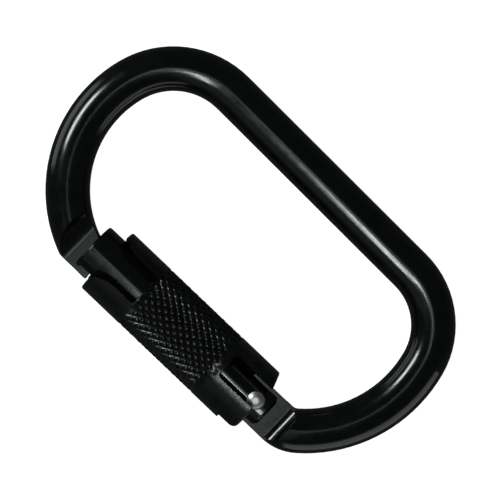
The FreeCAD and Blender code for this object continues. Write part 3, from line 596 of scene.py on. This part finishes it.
def rivet_profile():
    """Half the rivet's outline above its middle, as (radius, height), from its top to its shank."""
    head = (rivet_high.x - rivet_low.x) / 2
    rise = rivet_high.z - RIVET_SEAT_Z
    rim_x, rim_z = head - HEAD_ROUND, RIVET_SEAT_Z + HEAD_ROUND
    points = []
    for i in range(DOME_STEPS + 1):
        share = i / DOME_STEPS
        radius = TOP_FLAT + (rim_x - TOP_FLAT) * share
        points.append((radius, rivet_high.z - (rise - 2 * HEAD_ROUND) * share ** 2))
    for i in range(1, 2 * ROUND_STEPS + 1):
        turn = math.pi / 2 - math.pi * i / (2 * ROUND_STEPS)
        points.append((rim_x + HEAD_ROUND * math.cos(turn), rim_z + HEAD_ROUND * math.sin(turn)))
    points.append((RIVET_SHANK, RIVET_SEAT_Z))
    return points


def domed_rivet():
    """A turned rivet with a head on each side, round an upright axis."""
    upper = rivet_profile()
    outline = upper + [(radius, -height) for radius, height in reversed(upper)]
    turns = [2 * math.pi * k / RIVET_SIDES for k in range(RIVET_SIDES)]
    mesh = bmesh.new()
    rings = []
    for radius, height in outline:
        around = [Vector((math.cos(turn), math.sin(turn), 0.0)) * radius for turn in turns]
        centre = Vector((rivet_middle.x, rivet_middle.y, height))
        rings.append([mesh.verts.new(centre + spot) for spot in around])
    for lower, over in zip(rings, rings[1:]):
        join(mesh, loop_of(lower), loop_of(over))
    for ring in (rings[0], rings[-1]):
        mesh.faces.new(ring)
    return finish_piece("domed_rivet", mesh)


# ---------------------------------------------------------------- materials

RUBBED_COAT = (0.045, 0.045, 0.048, 1.0)
BARE_DARK, BARE_LIGHT = (0.50, 0.49, 0.45), (0.78, 0.77, 0.71)
WIRE_DARK, WIRE_LIGHT = (0.20, 0.19, 0.18), (0.42, 0.41, 0.39)
SCRATCH_DEPTH = 0.004 * MM
DRAWN_LINE_DEPTH = 0.002 * MM
CAD_EDGE_ANGLE = math.radians(28)
CAD_EDGE_SEGMENTS = 2


class Finish:
    """A principled material with a few procedural layers on the object's own coordinates."""

    def __init__(self, name, metallic=0.0, specular=0.5):
        self.material = bpy.data.materials.new(name)
        self.material.use_nodes = True
        self.tree = self.material.node_tree
        self.shader = self.tree.nodes["Principled BSDF"]
        self.shader.inputs["Metallic"].default_value = metallic
        self.shader.inputs["Specular IOR Level"].default_value = specular
        self.place = self.add("ShaderNodeTexCoord").outputs["Object"]

    def add(self, kind, **values):
        node = self.tree.nodes.new(kind)
        for name, value in values.items():
            setattr(node, name, value)
        return node

    def link(self, source, target):
        self.tree.links.new(source, target)

    def noise(self, scale, detail=4.0, roughness=0.5, stretch=(1.0, 1.0, 1.0)):
        """Noise whose grain is 1 / scale metres, stretched along an axis by a small factor there."""
        mapping = self.add("ShaderNodeMapping")
        mapping.inputs["Scale"].default_value = stretch
        self.link(self.place, mapping.inputs["Vector"])
        noise = self.add("ShaderNodeTexNoise")
        noise.inputs["Scale"].default_value = scale
        noise.inputs["Detail"].default_value = detail
        noise.inputs["Roughness"].default_value = roughness
        self.link(mapping.outputs["Vector"], noise.inputs["Vector"])
        return noise.outputs["Fac"]

    def ramp(self, value, low, high, dark, light):
        """Spread a value between low and high over two numbers."""
        node = self.add("ShaderNodeMapRange")
        for name, number in zip(("From Min", "From Max", "To Min", "To Max"), (low, high, dark, light)):
            node.inputs[name].default_value = number
        self.link(value, node.inputs["Value"])
        return node.outputs["Result"]

    def contrast(self, value, low, high):
        """Spread a value between low and high over 0 to 1."""
        return self.ramp(value, low, high, 0.0, 1.0)

    def colours(self, value, dark, light):
        mix = self.add("ShaderNodeMix", data_type="RGBA")
        mix.inputs["A"].default_value = (*dark, 1.0)
        mix.inputs["B"].default_value = (*light, 1.0)
        self.link(value, mix.inputs["Factor"])
        return mix.outputs["Result"]

    def worn_edges(self, low, high):
        """How much a place stands out from what is round it, broken up by noise."""
        geometry = self.add("ShaderNodeNewGeometry")
        edge = self.contrast(geometry.outputs["Pointiness"], low, high)
        rubbed = self.contrast(self.noise(scale=1400.0, detail=6.0), low=0.4, high=0.62)
        product = self.add("ShaderNodeMath", operation="MULTIPLY")
        self.link(edge, product.inputs[0])
        self.link(rubbed, product.inputs[1])
        return product.outputs["Value"]

    def bump(self, *layers):
        """Height layers given as (value, distance in metres)."""
        normal = None
        for value, distance in layers:
            node = self.add("ShaderNodeBump")
            node.inputs["Distance"].default_value = distance
            node.inputs["Strength"].default_value = 1.0
            self.link(value, node.inputs["Height"])
            if normal:
                self.link(normal, node.inputs["Normal"])
            normal = node.outputs["Normal"]
        self.link(normal, self.shader.inputs["Normal"])


def coated_steel(name, dark, light, rough_low, rough_high, peel_depth, turning=(1.0, 1.0, 1.0),
                 specular=0.5):
    """Thin black coating: slightly mottled, with a fine orange peel and faint rubbed edges."""
    finish = Finish(name, specular=specular)
    mottle = finish.contrast(finish.noise(scale=260.0, detail=5.0), low=0.35, high=0.65)
    coat = finish.colours(mottle, dark, light)
    wear = finish.worn_edges(low=0.56, high=0.66)
    worn = finish.add("ShaderNodeMix", data_type="RGBA")
    worn.inputs["B"].default_value = RUBBED_COAT
    finish.link(wear, worn.inputs["Factor"])
    finish.link(coat, worn.inputs["A"])
    finish.link(worn.outputs["Result"], finish.shader.inputs["Base Color"])
    smear = finish.noise(scale=420.0, detail=6.0, roughness=0.6, stretch=turning)
    roughness = finish.ramp(smear, low=0.3, high=0.7, dark=rough_low, light=rough_high)
    finish.link(roughness, finish.shader.inputs["Roughness"])
    peel = finish.noise(scale=1500.0, detail=2.0)
    grain = finish.noise(scale=6000.0, detail=3.0, stretch=turning)
    finish.bump((peel, peel_depth), (grain, peel_depth / 4))
    return finish.material


def bright_steel(name, centre):
    """Bare turned steel, with fine rings about an upright axis through centre."""
    finish = Finish(name, metallic=1.0)
    tint = finish.contrast(finish.noise(scale=900.0, detail=4.0), low=0.3, high=0.7)
    colour = finish.colours(tint, BARE_DARK, BARE_LIGHT)
    finish.link(colour, finish.shader.inputs["Base Color"])
    mapping = finish.add("ShaderNodeMapping")
    mapping.inputs["Location"].default_value = (-centre.x, -centre.y, 0.0)
    finish.link(finish.place, mapping.inputs["Vector"])
    rings = finish.add("ShaderNodeTexWave", wave_type="RINGS", rings_direction="Z")
    rings.inputs["Scale"].default_value = 900.0
    rings.inputs["Distortion"].default_value = 0.6
    rings.inputs["Detail"].default_value = 2.0
    finish.link(mapping.outputs["Vector"], rings.inputs["Vector"])
    scuff = finish.noise(scale=2500.0, detail=5.0)
    roughness = finish.ramp(scuff, low=0.3, high=0.7, dark=0.34, light=0.5)
    finish.link(roughness, finish.shader.inputs["Roughness"])
    finish.bump((rings.outputs["Fac"], SCRATCH_DEPTH), (scuff, SCRATCH_DEPTH))
    return finish.material


def spring_steel(name):
    """Drawn wire: dull silver, with faint lines and darker patches of oil."""
    finish = Finish(name, metallic=1.0)
    patches = finish.contrast(finish.noise(scale=700.0, detail=5.0), low=0.35, high=0.65)
    colour = finish.colours(patches, WIRE_DARK, WIRE_LIGHT)
    finish.link(colour, finish.shader.inputs["Base Color"])
    lines = finish.noise(scale=3500.0, detail=4.0, stretch=(0.2, 1.0, 1.0))
    roughness = finish.ramp(lines, low=0.3, high=0.7, dark=0.22, light=0.42)
    finish.link(roughness, finish.shader.inputs["Roughness"])
    finish.bump((lines, DRAWN_LINE_DEPTH))
    return finish.material


def crisp_edges(piece, width):
    """A small round along every sharp edge of a CAD node, so that it catches the light."""
    bevel = piece.modifiers.new("edge_round", "BEVEL")
    bevel.limit_method = "ANGLE"
    bevel.angle_limit = CAD_EDGE_ANGLE
    bevel.width = width
    bevel.segments = CAD_EDGE_SEGMENTS


def paint(piece, material):
    piece.data.materials.clear()
    piece.data.materials.append(material)


# ---------------------------------------------------------------- the object

make_camera()
make_studio()

black_bar = coated_steel(
    "black_coating", dark=(0.0008, 0.0012, 0.0010), light=(0.0026, 0.0032, 0.0028),
    rough_low=0.12, rough_high=0.2, peel_depth=0.003 * MM,
)
black_sleeve = coated_steel(
    "black_turned_coating", dark=(0.0012, 0.0016, 0.0013), light=(0.0042, 0.0050, 0.0044),
    rough_low=0.22, rough_high=0.32, peel_depth=0.0015 * MM,
    turning=(4.0, 0.5, 0.5), specular=0.38,
)
bare = bright_steel("bare_turned_steel", rivet_middle)
wire = spring_steel("drawn_wire")

finishes = {
    "carabiner_body": black_bar,
    "gate": black_bar,
    "guide_pin": bare,
    "gate_plunger": bare,
    "spring_ring": bare,
}
for name, material in finishes.items():
    paint(nodes[name], material)

# in millimetres
edge_rounds = {"carabiner_body": 0.25, "gate": 0.15, "spring_ring": 0.15, "gate_plunger": 0.1}
for name, width in edge_rounds.items():
    crisp_edges(nodes[name], width * MM)

sleeve = locking_sleeve()
rounded(sleeve, SLEEVE_EDGE_ROUND)
paint(sleeve, black_sleeve)
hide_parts("locking_sleeve")
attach(sleeve, "sleeve")

rivet = domed_rivet()
paint(rivet, bare)
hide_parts("hinge_rivet")
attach(rivet, "gate")

gate_coil = coil("gate_coil_spring", "gate_spring", GATE_SPRING_WIRE, GATE_SPRING_TURNS)
sleeve_coil = coil("sleeve_torsion_spring", "sleeve_spring", SLEEVE_SPRING_WIRE, SLEEVE_SPRING_TURNS,
                   tail=TAIL_LENGTH)
for spring, node, moving in (
    (gate_coil, "gate_spring", "plunger"),
    (sleeve_coil, "sleeve_spring", "sleeve"),
):
    paint(spring, wire)
    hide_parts(node)
    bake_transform(spring)
